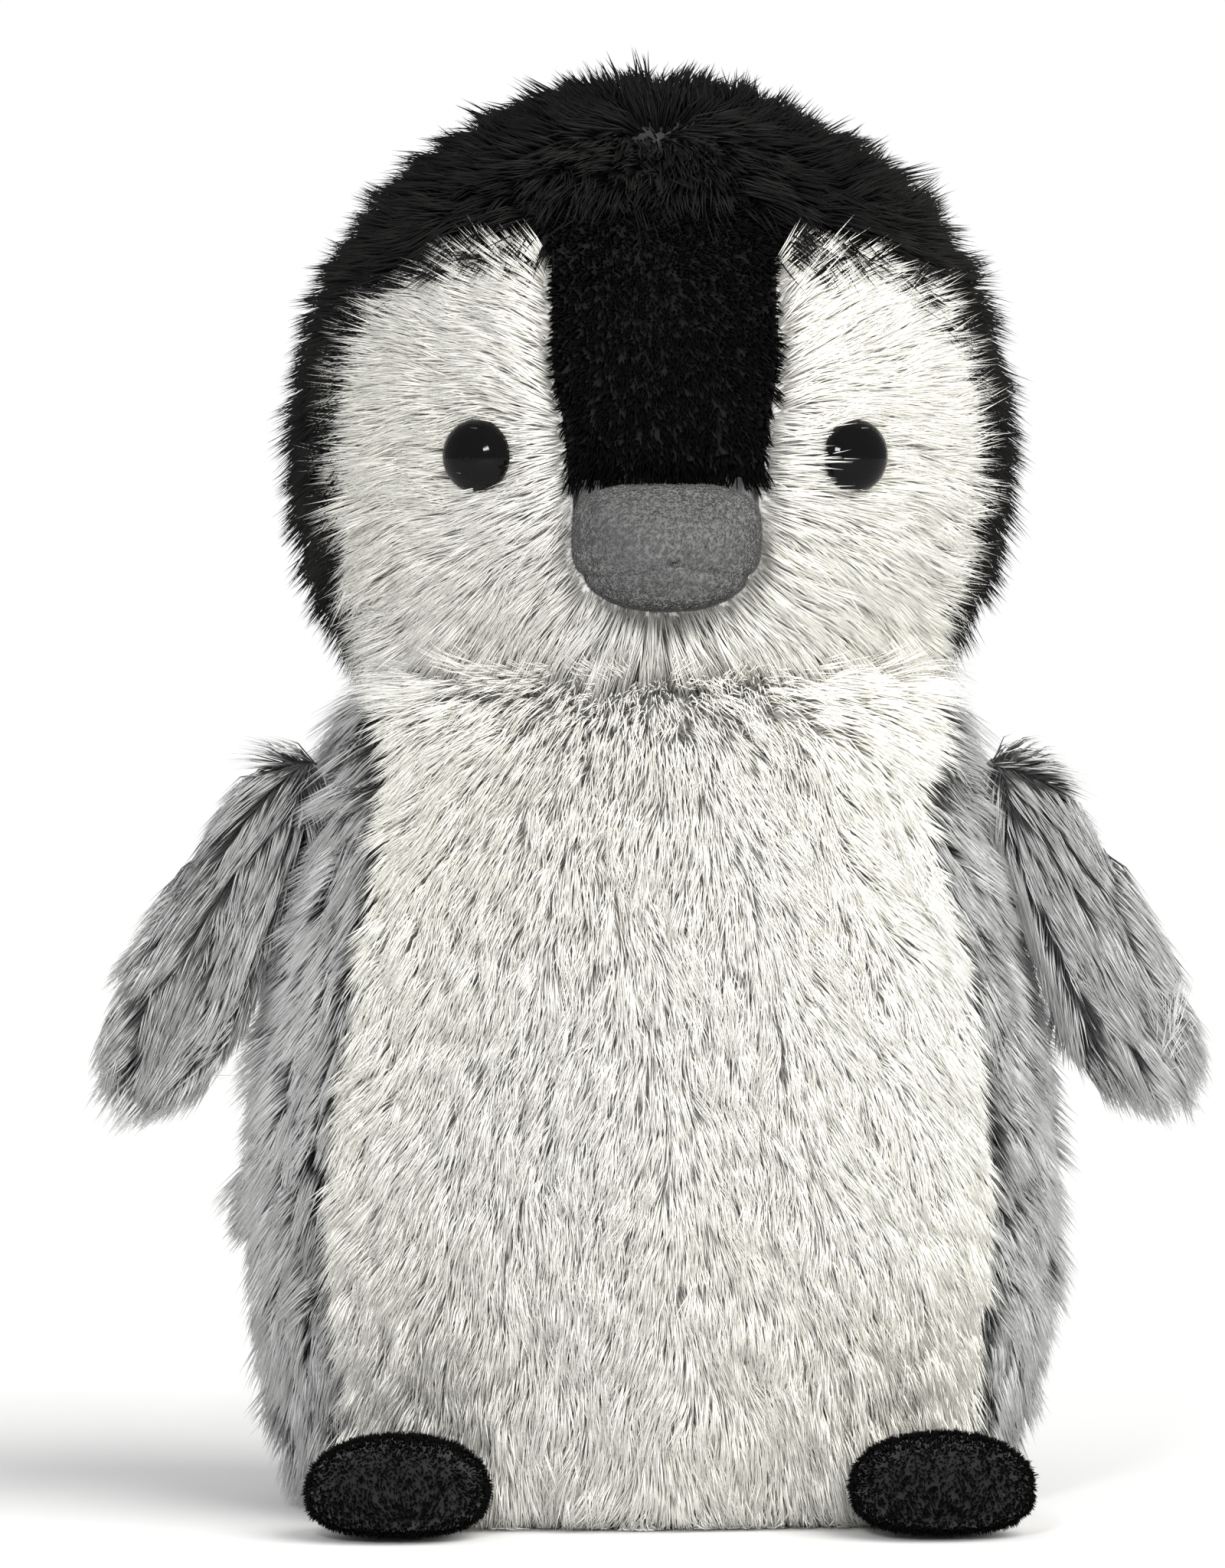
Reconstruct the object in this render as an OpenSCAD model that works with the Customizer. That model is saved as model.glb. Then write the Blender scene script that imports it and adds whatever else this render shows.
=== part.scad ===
// Plush penguin: sewn fur panels over stuffing, standing on a flat seat.
// The head, both wings and both feet are sewn on and flex at their seams.
// The penguin faces -Y and stands on z = 0. Left and right are its own.
// Each fur panel is a thick shell: its inner face is the backing cloth and
// its outer face is where the combed pile reaches.

/* [Body] */
// Half width of the body where it is widest
body_half_w = 83.5; // [80:0.5:86]
// From the body's middle line to the front of the belly
body_front = 74; // [70:1:78]
// From the body's middle line to the back
body_back = 68; // [64:1:72]
// Height at which the body is widest
widest_z = 58; // [52:1:62]
// Radius at which the seat's edge starts
seat_r = 60; // [58:0.5:62]
// Height of the top edge of the body panels
shoulder_z = 174; // [172:0.5:174.5]

/* [Head] */
// Half width of the head
head_half_w = 71.5; // [70:0.5:74]
// Half depth of the head
head_half_d = 66; // [64:0.5:68]
// Height of the head's widest level
head_mid_z = 219; // [218:0.5:221]
// From that level to the crown
head_up = 78; // [74:0.5:82]
// Diameter of an eye
eye_d = 15; // [10:0.5:16]

/* [Beak] */
// Half width of the beak at the face
beak_half_w = 20.5; // [18:0.5:20.5]
// From the head's middle line to the tip of the beak
beak_reach = 90; // [86:1:91]

/* [Wings] */
// Lean of a resting wing away from upright
wing_lean = 30; // [28:1:36]
// Length of a wing from its seam to its tip
wing_len = 78; // [70:1:80]
// Half thickness of a wing
wing_half_t = 9; // [8:0.5:10]

/* [Feet] */
// Half width of a foot
foot_half_w = 20.5; // [18:0.5:21]
// Half length of a foot
foot_half_len = 20; // [18:0.5:20]
// Height of a foot
foot_h = 22; // [20:0.5:23]

/* [Cloth] */
// Thickness of a body or head panel, backing and pile together
panel_t = 6; // [4:0.5:6]
// Thickness of a wing, foot or beak panel
small_panel_t = 3; // [2:0.25:3.5]

/* [Hidden] */

BLACK = "#1c1b1c";
WHITE = "#e9e9e2";
GREY = "#8d8b8c";
FROST = "#a3a3a1";
FILL = "#f4f4f0";

gap = 1;            // between a panel and the stuffing behind it
seam = 0.25;        // half of the slit between two panels that are sewn together
long_seam = 0.4;    // the same for the belly's long side seams, in degrees
foot_tip = 92;      // from the body's middle line to the tip of a foot
mid_y = (foot_tip - body_back) / 2;

neck_pivot_z = 125; // the head rocks on a ball of stuffing centred here
neck_ball_r = 70.8;
neck_cup_r = 72.6;
head_low_z = 176.5; // lower edge of the head panels
head_down = 67;     // from the head's widest level to its lower pole
cheek_full = 0.75;  // 1 makes the lower head an ellipse; less makes it wider towards the neck

blaze_low_z = 214.5;
blaze_top_z = 272;
mask_top_z = 262;
beak_mid_z = 201;
beak_top_h = 12.5;
beak_low_h = 13.5;
beak_split = 28;    // the mouth line lies this far below the beak's widest level, in degrees
beak_slit = 2;
beak_top_square = 0.55;  // 1 is a round outline; less is nearer to a box
beak_low_square = 0.85;
beak_droop = 4;
eye_az = 32;        // direction of an eye from straight ahead
eye_turn = 30;      // direction in which an eye looks
eye_z = 218;

wing_seam = [70, -8, 155];  // middle of the wing's seam, from the body's middle line
wing_back_reach = 3.5;      // rounded end of the wing behind its seam
wing_out = 15.5;
wing_in = 4;
wing_widen = 0.2;
wing_round = 0.75;

foot_x = 55;
foot_splay = 12;
foot_seam_z = 9.2;

base_r = 57.4;
base_t = 3;
bag_r = 50;
bag_top = 25;

function lerp(a, b, t) = a + (b - a) * t;
function ramp(t) = let (u = min(1, max(0, t))) u * u * (3 - 2 * u);
function signed_pow(v, e) = sign(v) * pow(abs(v), e);
function around(n) = [for (j = [0:n - 1]) j * 360 / n];
function steps(a, b, n) = [for (i = [0:n]) lerp(a, b, i / n)];

// ---------- solids from rows of points ----------

function quads(a, b, c, d) = [[a, b, c], [a, c, d]];

// Closed shell between two open grids of points that have the same rows and columns
module shell(outer, inner) {
    rows = len(outer);
    cols = len(outer[0]);
    count = rows * cols;
    points = [for (grid = [outer, inner]) for (row = grid) for (p = row) p];
    edge = concat(
        [for (i = [0:rows - 2]) i * cols],
        [for (j = [0:cols - 2]) (rows - 1) * cols + j],
        [for (i = [rows - 1:-1:1]) i * cols + cols - 1],
        [for (j = [cols - 1:-1:1]) j]
    );
    outside = [
        for (i = [0:rows - 2]) for (j = [0:cols - 2])
            for (f = quads(i * cols + j, (i + 1) * cols + j, (i + 1) * cols + j + 1, i * cols + j + 1)) f
    ];
    inside = [for (f = outside) [f[2] + count, f[1] + count, f[0] + count]];
    rim = [
        for (k = [0:len(edge) - 1])
            let (a = edge[k], b = edge[(k + 1) % len(edge)])
            for (f = quads(b, a, a + count, b + count)) f
    ];
    polyhedron(points, concat(outside, inside, rim), convexity = 8);
}

// Closed solid through a pile of rings that have the same number of points
module loft(rings) {
    m = len(rings[0]);
    last = (len(rings) - 1) * m;
    points = [for (ring = rings) for (p = ring) p];
    sides = [
        for (k = [0:len(rings) - 2]) for (j = [0:m - 1])
            let (n = (j + 1) % m)
            for (f = quads(k * m + j, (k + 1) * m + j, (k + 1) * m + n, k * m + n)) f
    ];
    low = [for (j = [1:m - 2]) [0, j, j + 1]];
    high = [for (j = [1:m - 2]) [last, last + j + 1, last + j]];
    polyhedron(points, concat(sides, low, high), convexity = 8);
}

// ---------- body ----------

function body_shape(z) = z > widest_z
    ? 1 - 0.31 * pow((z - widest_z) / (shoulder_z - widest_z), 1.8)
    : 1 - 0.155 * pow((widest_z - z) / widest_z, 1.7);
function seat_curl(z) = z >= 10 ? 1 : sqrt(1 - pow(1 - z / 10, 2));
function body_reach(half, z, inset) =
    lerp(seat_r, half * body_shape(z), seat_curl(z)) - lerp(1.6, inset, ramp(z / 20)) * inset / panel_t;
function body_point(az, z, inset = 0) = [
    body_reach(body_half_w, z, inset) * sin(az),
    mid_y - body_reach(cos(az) > 0 ? body_front : body_back, z, inset) * cos(az),
    z + inset * (1 - ramp(z / 20))
];
function body_rows() = [for (i = [0:14]) lerp(0.4, shoulder_z, pow(i / 14, 1.6))];

// Edge of the white belly, as a direction from straight ahead
function belly_edge(z) = 55 + 12 * ramp((30 - z) / 30) + 14 * ramp((z - 150) / 22);

module body_panel(from_az, to_az) {
    function grid(inset) = [
        for (z = body_rows())
            [for (t = steps(0, 1, 11)) body_point(lerp(from_az(z), to_az(z), t), z, inset)]
    ];
    shell(grid(0), grid(panel_t));
}

module belly_panel() {
    color(WHITE) body_panel(function(z) long_seam - belly_edge(z), function(z) belly_edge(z) - long_seam);
}

module back_panel_left() {
    color(FROST) body_panel(function(z) belly_edge(z) + long_seam, function(z) 180 - long_seam);
}

module back_panel_right() {
    color(FROST) body_panel(function(z) long_seam - 180, function(z) -belly_edge(z) - long_seam);
}

module base_panel() {
    color(FROST) translate([0, mid_y, 0]) cylinder(r = base_r, h = base_t, $fn = 96);
}

// A bag of plastic pellets low in the seat keeps the penguin upright
module pellet_bag() {
    edge_r = 8;
    color(FILL) translate([0, mid_y, 0]) rotate_extrude($fn = 72)
        polygon(concat(
            [[0, base_t + gap], [bag_r - edge_r, base_t + gap]],
            [for (a = steps(-80, 80, 6)) [
                bag_r - edge_r + edge_r * cos(a),
                (base_t + gap + bag_top) / 2 + (bag_top - base_t - gap) / 2 * sin(a)
            ]],
            [[bag_r - edge_r, bag_top], [0, bag_top]]
        ));
}

module body_stuffing() {
    hidden = panel_t + gap;
    neck_x = body_reach(body_half_w, shoulder_z - 2, hidden);
    neck_y = body_reach(body_back, shoulder_z - 2, hidden);
    function ball_z(r) = neck_pivot_z + sqrt(pow(neck_ball_r, 2) - r * r);
    walls = [for (z = steps(8, shoulder_z - 2, 11)) [for (az = around(28)) body_point(az, z, hidden)]];
    dome = [
        for (f = [0.94, 0.8, 0.6, 0.35, 0.04])
            [for (az = around(28)) [f * neck_x * sin(az), mid_y - f * neck_y * cos(az), ball_z(f * neck_x)]]
    ];
    color(FILL) difference() {
        loft(concat(walls, dome));
        translate([0, mid_y, -1]) cylinder(r = bag_r + gap, h = bag_top + gap + 1, $fn = 72);
    }
}

// Ladder stitch in strong thread that closes the middle of the back
module closing_stitches() {
    stitch_r = 0.45;
    color(BLACK) for (z = [92:5:137]) {
        p = body_point(180, z);
        translate([-2, p[1] + stitch_r + 0.4, z]) rotate([0, 90, 0]) cylinder(r = stitch_r, h = 4, $fn = 16);
    }
}

// ---------- head ----------

function polar(z) = acos(max(-1, min(1, (z - head_mid_z) / (z > head_mid_z ? head_up : head_down))));
function polar_z(psi) = head_mid_z + cos(psi) * (psi < 90 ? head_up : head_down);
// Share of the head's half width at this level: below the widest level the cheeks stay full
function fullness(psi) = psi < 90 ? sin(psi) : pow(max(0, sin(psi)), cheek_full);
function head_point(az, psi, inset = 0) = [
    (head_half_w - inset) * fullness(psi) * sin(az),
    mid_y - (head_half_d - inset) * sin(psi) * cos(az),
    head_mid_z + ((psi < 90 ? head_up : head_down) - inset) * cos(psi)
];
// Direction at which the head's surface has this half width
function az_at(half, psi) = asin(min(0.99, half / (head_half_w * fullness(psi))));
function seam_at(psi) = az_at(seam, psi);

function blaze_half(z) = 21.2 + 3.3 * ramp((z - blaze_low_z) / 25);
function blaze_edge(psi) = az_at(blaze_half(polar_z(psi)), psi);
// The opening round the beak. It is wider outside than the beak so that the beak clears it inside.
mouth_w = beak_half_w + 2.9;
mouth_low = beak_low_h + 4.2;
function mouth_half(z) = z > beak_mid_z
    ? mouth_w
    : mouth_w * pow(max(0, 1 - pow((beak_mid_z - z) / mouth_low, 2.5)), 0.4);
// The white mask: its inner edge follows the blaze and the beak, its outer edge the cheek
function mask_inner(psi) = let (z = polar_z(psi))
    z > blaze_low_z ? blaze_edge(psi) : max(seam_at(psi), az_at(mouth_half(z), psi));
function mask_outer(psi) =
    let (z = polar_z(psi), cheek = 66 + (217 - z) * 0.13, k = (z - 241) / (mask_top_z + 0.5 - 241))
    z < 241 ? cheek : lerp(blaze_edge(psi), cheek, sqrt(1 - pow(k, 2.2)));

mask_heights = [
    head_low_z, 180, 182.8, 183.9, 186, 189, 194, 201, 209, 217,
    224, 231, 238, 244, 249, 253.5, 257, 259.5, mask_top_z - 0.5
];
mask_rows = [for (z = mask_heights) polar(z)];
crown_rows = [41, 34, 25, 16, 8, 1];

module head_panel(rows, from_az, to_az, cols) {
    function grid(inset) = [
        for (psi = rows)
            [for (t = steps(0, 1, cols)) head_point(lerp(from_az(psi), to_az(psi), t), psi, inset)]
    ];
    shell(grid(0), grid(panel_t));
}

// Everything is built on the penguin's left and mirrored for its right
module on_side(side) {
    if (side > 0) children();
    else mirror([1, 0, 0]) children();
}

module head_cap(side) {
    slit = 0.4;
    rows = concat(
        mask_rows,
        [polar(mask_top_z + slit), polar(blaze_top_z - slit), polar(blaze_top_z + slit)],
        crown_rows
    );
    function front(psi) = let (z = polar_z(psi))
        z > blaze_top_z ? seam_at(psi) : z > mask_top_z ? blaze_edge(psi) + 2 * seam : mask_outer(psi) + 2 * seam;
    color(BLACK) on_side(side) head_panel(rows, function(psi) front(psi), function(psi) 180 - seam_at(psi), 9);
}

module face_patch(side) {
    color(WHITE) on_side(side) difference() {
        head_panel(mask_rows, function(psi) mask_inner(psi), function(psi) mask_outer(psi), 7);
        eye_frame() translate([0, 0, -14]) cylinder(r = 2.6, h = 18, $fn = 24);
    }
}

module forehead_blaze() {
    rows = [for (z = steps(blaze_low_z, blaze_top_z - 0.5, 7)) polar(z)];
    color(BLACK) head_panel(
        rows,
        function(psi) 2 * seam - blaze_edge(psi),
        function(psi) blaze_edge(psi) - 2 * seam,
        7
    );
}

module head_stuffing() {
    hidden = panel_t + gap;
    function cup(az, f) =
        let (
            x = f * (head_half_w - hidden) * fullness(polar(head_low_z)) * sin(az),
            y = -f * (head_half_d - hidden) * sin(polar(head_low_z)) * cos(az)
        )
        [x, mid_y + y, neck_pivot_z + sqrt(pow(neck_cup_r + 0.6, 2) - x * x - y * y)];
    cup_rings = [for (f = [0.04, 0.35, 0.6, 0.8, 0.97]) [for (az = around(28)) cup(az, f)]];
    ball_rings = [for (psi = steps(polar(head_low_z), 2, 12)) [for (az = around(28)) head_point(az, psi, hidden)]];
    color(FILL) difference() {
        loft(concat(cup_rings, ball_rings));
        for (side = [1, -1]) on_side(side)
            eye_frame() translate([0, 0, -22]) cylinder(r = 9.5, h = 20, $fn = 36);
    }
}

// ---------- eyes ----------

module eye_frame() {
    translate(head_point(eye_az, polar(eye_z))) rotate([90, 0, eye_turn]) children();
}

// Plastic safety eye: a dome on a ribbed stem
module eye(side) {
    dome_h = 5;
    foot = 0.4;
    stem_r = 1.6;
    rib_r = 1.9;
    stem_end = -13;
    color("black") on_side(side) eye_frame() rotate_extrude($fn = 48)
        polygon(concat(
            [[0, stem_end], [stem_r - 0.6, stem_end]],
            [for (i = [0:5]) for (p = [[stem_r, stem_end + 1 + i], [rib_r, stem_end + 1.5 + i]]) p],
            [[stem_r, stem_end + 7], [stem_r, foot], [eye_d / 2 - 0.3, foot]],
            [for (a = steps(0, 80, 8)) [eye_d / 2 * cos(a), foot + 0.5 + (dome_h - 0.5) * sin(a)]],
            [[0, foot + dome_h]]
        ));
}

// Lock washer that holds the eye's stem behind the cloth
module eye_washer(side) {
    disc_r = 7.5;
    bore_r = 2.1;
    color(FILL) on_side(side) eye_frame() rotate_extrude($fn = 48)
        polygon([[bore_r, -9.6], [bore_r + 1.4, -9.6], [bore_r + 1.8, -8.6], [disc_r, -8.3], [disc_r, -7.2],
                 [bore_r, -7.2]]);
}

// ---------- beak ----------

// One point on the beak: f goes round it, t from the face to the tip
function beak_point(f, t, inset) =
    let (
        size = max(0.05, pow(1 - pow(t, 2.2), 0.5)),
        square = sin(f) > 0 ? beak_top_square : beak_low_square,
        x = size * (beak_half_w - inset) * signed_pow(cos(f), square),
        rise = size * ((sin(f) > 0 ? beak_top_h : beak_low_h) - inset) * signed_pow(sin(f), square),
        z = beak_mid_z + rise - beak_droop * t * t,
        face_y = -(head_half_d - panel_t + 0.5) * sqrt(1 - pow(x / head_half_w, 2) - pow((z - head_mid_z) / head_down, 2))
    )
    [x, mid_y + lerp(face_y, -(beak_reach - inset), t), z];

module beak_panel(from_f, to_f, cols) {
    function grid(inset) = [
        for (t = [0, 0.25, 0.5, 0.7, 0.85, 0.95, 1])
            [for (f = steps(from_f, to_f, cols)) beak_point(f, t, inset)]
    ];
    shell(grid(0), grid(small_panel_t));
}

module beak_upper() {
    color(GREY) beak_panel(beak_slit - beak_split, 180 + beak_split - beak_slit, 14);
}

module beak_lower() {
    color(GREY) beak_panel(180 + beak_split + beak_slit, 360 - beak_split - beak_slit, 8);
}

module beak_stuffing() {
    rings = [
        for (t = [0.04, 0.25, 0.5, 0.7, 0.85, 0.95])
            [for (f = around(20)) beak_point(f, t, small_panel_t + gap)]
    ];
    color(FILL) loft(rings);
}

// ---------- wings and feet: two panels sewn round a small pillow ----------

// Height of a pillow over its seam plane, from 0 at the middle to 1 at the edge
function crown_of(r, flat) = pow(max(0, 1 - pow(r, flat)), 0.5);
function shrunk(p, by) = p * (1 - by / norm(p));
function pillow_ring(outline, r, h) = [for (p = outline) [r * p[0], r * p[1], h]];

// Lower half of a pillow's cloth; the seam lies at z = 0
module pillow_panel(outline, h, flat) {
    within = [for (p = outline) shrunk(p, small_panel_t)];
    outer = [for (r = [0.04, 0.3, 0.55, 0.75, 0.9, 0.97]) pillow_ring(outline, r, -h * crown_of(r, flat))];
    inner = [
        for (r = [0.95, 0.8, 0.5, 0.04])
            pillow_ring(within, r, -(h - small_panel_t) * crown_of(r, flat))
    ];
    rim = [pillow_ring(outline, 1, -seam / 2), pillow_ring(within, 1, -seam / 2)];
    loft(concat(outer, rim, inner));
}

module pillow_fill(outline, low_h, low_flat, top_h, top_flat) {
    hidden = small_panel_t + gap;
    within = [for (p = outline) shrunk(p, hidden)];
    low = [for (r = [0.04, 0.45, 0.75, 0.93]) pillow_ring(within, r, -(low_h - hidden) * crown_of(r, low_flat))];
    top = [for (r = [0.93, 0.75, 0.45, 0.04]) pillow_ring(within, r, (top_h - hidden) * crown_of(r, top_flat))];
    loft(concat(low, top));
}

// A wing lies in its seam plane with its length along +X and its outer edge towards +Y
wing_mid = (wing_len - wing_back_reach) / 2;
wing_flat = 2.6;
function wing_outline() = [
    for (a = around(26))
        let (
            s = (wing_len + wing_back_reach) / 2 * signed_pow(cos(a), wing_round),
            half = sin(a) > 0 ? wing_out : wing_in + wing_widen * (s + wing_mid)
        )
        [s, half * signed_pow(sin(a), wing_round)]
];

module wing_frame(side) {
    on_side(side)
        translate([wing_seam[0], mid_y + wing_seam[1], wing_seam[2]])
            rotate([0, 90 - wing_lean, 0]) rotate([90, 0, 0]) translate([wing_mid, 0, 0]) children();
}

module wing_front(side) {
    color(FROST) wing_frame(side) mirror([0, 0, 1]) pillow_panel(wing_outline(), wing_half_t, wing_flat);
}

module wing_back(side) {
    color(FROST) wing_frame(side) pillow_panel(wing_outline(), wing_half_t, wing_flat);
}

module wing_stuffing(side) {
    color(FILL) wing_frame(side)
        pillow_fill(wing_outline(), wing_half_t, wing_flat, wing_half_t, wing_flat);
}

// A foot points along -Y in its own frame
sole_flat = 4;
instep_flat = 2.4;
function foot_outline() = [
    for (a = around(26)) [foot_half_w * signed_pow(cos(a), 0.88), foot_half_len * signed_pow(sin(a), 0.88)]
];

module foot_frame(side) {
    on_side(side)
        translate([foot_x, mid_y - foot_tip + foot_half_len, foot_seam_z]) rotate([0, 0, foot_splay]) children();
}

module foot_sole(side) {
    color(BLACK) foot_frame(side) pillow_panel(foot_outline(), foot_seam_z, sole_flat);
}

module foot_top(side) {
    color(BLACK) foot_frame(side) mirror([0, 0, 1])
        pillow_panel(foot_outline(), foot_h - foot_seam_z, instep_flat);
}

module foot_stuffing(side) {
    color(FILL) foot_frame(side)
        pillow_fill(foot_outline(), foot_seam_z, sole_flat, foot_h - foot_seam_z, instep_flat);
}

// ---------- assembly ----------

head_cap(1);  // head_cap_left
head_cap(-1);  // head_cap_right
forehead_blaze();
face_patch(1);  // face_patch_left
face_patch(-1);  // face_patch_right
beak_upper();
beak_lower();
beak_stuffing();
eye(1);  // eye_left
eye(-1);  // eye_right
eye_washer(1);  // eye_washer_left
eye_washer(-1);  // eye_washer_right
head_stuffing();
belly_panel();
back_panel_left();
back_panel_right();
base_panel();
body_stuffing();
pellet_bag();
closing_stitches();
wing_front(1);  // wing_front_left
wing_back(1);  // wing_back_left
wing_stuffing(1);  // wing_stuffing_left
wing_front(-1);  // wing_front_right
wing_back(-1);  // wing_back_right
wing_stuffing(-1);  // wing_stuffing_right
foot_top(1);  // foot_top_left
foot_sole(1);  // foot_sole_left
foot_stuffing(1);  // foot_stuffing_left
foot_top(-1);  // foot_top_right
foot_sole(-1);  // foot_sole_right
foot_stuffing(-1);  // foot_stuffing_right
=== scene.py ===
"""Looks of the plush penguin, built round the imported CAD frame.

Lengths in this file are millimetres until a mesh is made. Left and right are the penguin's own.
Each sewn panel is a cloth skin taken from a simulated, puffed-out form, and the pile on it is
real geometry: thin closed strands, combed and gathered into tufts.
"""

import math
from collections import namedtuple

import bpy
import numpy as np
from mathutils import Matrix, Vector
from mathutils.bvhtree import BVHTree
from mathutils.kdtree import KDTree

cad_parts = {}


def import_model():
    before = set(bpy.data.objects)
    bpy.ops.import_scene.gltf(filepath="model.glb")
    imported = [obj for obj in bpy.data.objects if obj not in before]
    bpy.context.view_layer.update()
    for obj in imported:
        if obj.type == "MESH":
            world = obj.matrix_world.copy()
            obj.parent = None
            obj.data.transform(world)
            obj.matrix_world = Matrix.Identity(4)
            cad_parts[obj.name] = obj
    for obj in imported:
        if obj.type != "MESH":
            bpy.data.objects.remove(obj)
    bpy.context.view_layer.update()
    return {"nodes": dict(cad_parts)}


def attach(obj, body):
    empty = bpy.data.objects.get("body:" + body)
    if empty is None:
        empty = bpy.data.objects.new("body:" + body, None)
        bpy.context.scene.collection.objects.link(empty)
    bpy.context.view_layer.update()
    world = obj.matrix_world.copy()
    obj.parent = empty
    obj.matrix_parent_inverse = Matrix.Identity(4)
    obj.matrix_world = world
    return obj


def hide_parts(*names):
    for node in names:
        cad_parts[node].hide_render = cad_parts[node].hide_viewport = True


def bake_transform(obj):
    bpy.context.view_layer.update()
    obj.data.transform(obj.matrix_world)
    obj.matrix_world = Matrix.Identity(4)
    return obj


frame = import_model()

MM = 0.001
SIDES = {"left": 1, "right": -1}
rng = np.random.default_rng(20)

# ---------- the CAD model's shapes ----------

MID_Y = 12.0
BODY_HALF_W = 83.5
BODY_FRONT = 74.0
BODY_BACK = 68.0
WIDEST_Z = 58.0
SEAT_R = 60.0
SEAT_CURL = 10.0      # height over which the body rounds in to the seat
SHOULDER_Z = 174.0
SHOULDER_TAPER = 0.31
SEAT_TAPER = 0.155
HEAD_HALF_W = 71.5
HEAD_HALF_D = 66.0
HEAD_MID_Z = 219.0
HEAD_UP = 78.0
HEAD_DOWN = 67.0
BEAK_MID_Z = 201.0
BEAK_HALF_W = 20.5
BEAK_TOP_H = 12.5
BEAK_LOW_H = 13.5
BEAK_SAG = 2.0        # the stuffed lower beak hangs this much below the CAD form
BEAK_REACH = 90.0
BEAK_INSET = 0.5      # the beak's velour is short
BEAK_DROOP = 4.0
BEAK_TOP_SQUARE = 0.55
BEAK_LOW_SQUARE = 0.85
BLAZE_LOW_Z = 214.5
BLAZE_TOP_Z = 272.0
BLAZE_LOW_HALF = 21.2
BLAZE_WIDENS = 3.3
CHEEK_FULL = 0.75
CHEEK_AZ = 66.0       # the mask's outer edge at the height CHEEK_Z
CHEEK_Z = 217.0
CHEEK_LEAN = 0.13     # degrees further round for each millimetre down
MASK_ROUND_Z = 241.0  # above this the mask's outer edge rounds in to the forehead strip
MASK_TOP_Z = 262.0
EYE_AZ = 32.0
EYE_Z = 218.0
WING_SEAM = (70.0, -8.0, 155.0)
WING_LEAN = 30.0
WING_LEN = 78.0
WING_BACK = 3.5
WING_HALF_T = 9.0
WING_OUT = 15.5
WING_EDGE_PILE = 4.5  # more pile stands over the wing's outer edge than on its faces
WING_INSET = 1.5
WING_FLAT = 2.6       # higher values give a flatter pillow
WING_SQUARE = 0.75
FOOT_X = 55.0
FOOT_TIP = 92.0
FOOT_SPLAY = 12.0
FOOT_HALF_W = 20.5
FOOT_HALF_LEN = 20.0
FOOT_SEAM_Z = 9.2
FOOT_H = 22.0
FOOT_TOP_FLAT = 2.4
FOOT_SOLE_FLAT = 4
FOOT_SQUARE = 0.88

PILE = 3.0            # the backing cloth lies this far inside the CAD panels' outer faces
FORM_UNDER = 1.5      # the unpuffed forms lie this much further in
SHORT_PILE = 1.6      # the same as PILE, for the feet
BLAZE_INSET = -0.5    # the forehead strip stands out so that its short pile shows
CLOTH_T = 0.8


def ramp(t):
    u = np.clip(t, 0, 1)
    return u * u * (3 - 2 * u)


def signed_pow(v, e):
    return np.sign(v) * np.abs(v) ** e


def body_point(az, z, inset):
    """A point on the body at az degrees from straight ahead, inset from where the pile ends."""
    above = 1 - SHOULDER_TAPER * np.clip((z - WIDEST_Z) / (SHOULDER_Z - WIDEST_Z), 0, 1.3) ** 1.8
    below = 1 - SEAT_TAPER * np.clip((WIDEST_Z - z) / WIDEST_Z, 0, 1) ** 1.7
    shape = np.where(z > WIDEST_Z, above, below)
    curl = np.where(z >= SEAT_CURL, 1, np.sqrt(1 - np.clip(1 - z / SEAT_CURL, 0, 1) ** 2))
    a = np.radians(az)
    half_y = np.where(np.cos(a) > 0, BODY_FRONT, BODY_BACK)
    x = SEAT_R + (BODY_HALF_W * shape - SEAT_R) * curl - inset
    y = SEAT_R + (half_y * shape - SEAT_R) * curl - inset
    return np.stack([x * np.sin(a), MID_Y - y * np.cos(a), z + 0 * a], -1)


def belly_edge(z):
    """Degrees from straight ahead to the belly panel's side seams: wider at the seat and neck."""
    return 55 + 12 * ramp((30 - z) / 30) + 14 * ramp((z - 150) / 22)


def fullness(psi):
    """Share of the head's half width at a level: below the widest level the cheeks stay full."""
    s = np.clip(np.sin(np.radians(psi)), 0, 1)
    return np.where(psi < 90, s, s ** CHEEK_FULL)


def head_point(az, psi, inset):
    """A point on the head at psi degrees from the crown."""
    a, p = np.radians(az), np.radians(psi)
    up = np.where(psi < 90, HEAD_UP, HEAD_DOWN) - inset
    return np.stack([
        (HEAD_HALF_W - inset) * fullness(psi) * np.sin(a),
        MID_Y - (HEAD_HALF_D - inset) * np.sin(p) * np.cos(a),
        HEAD_MID_Z + up * np.cos(p),
    ], -1)


def polar(z):
    """Degrees from the crown to the head's surface at height z."""
    up = np.where(z > HEAD_MID_Z, HEAD_UP, HEAD_DOWN)
    return np.degrees(np.arccos(np.clip((z - HEAD_MID_Z) / up, -1, 1)))


def az_at(half, psi):
    """Direction at which the head's surface has this half width."""
    return np.degrees(np.arcsin(np.clip(half / (HEAD_HALF_W * fullness(psi)), -0.999, 0.999)))


def blaze_half(z):
    return BLAZE_LOW_HALF + BLAZE_WIDENS * ramp((z - BLAZE_LOW_Z) / 25)


def mouth_half(z):
    """Half the opening that the mask leaves for the beak."""
    low = np.clip((BEAK_MID_Z - z) / (BEAK_LOW_H + BEAK_SAG + 1), 0, 1)
    return np.where(z > BEAK_MID_Z, BEAK_HALF_W, BEAK_HALF_W * (1 - low ** 2.5) ** 0.4)


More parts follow.
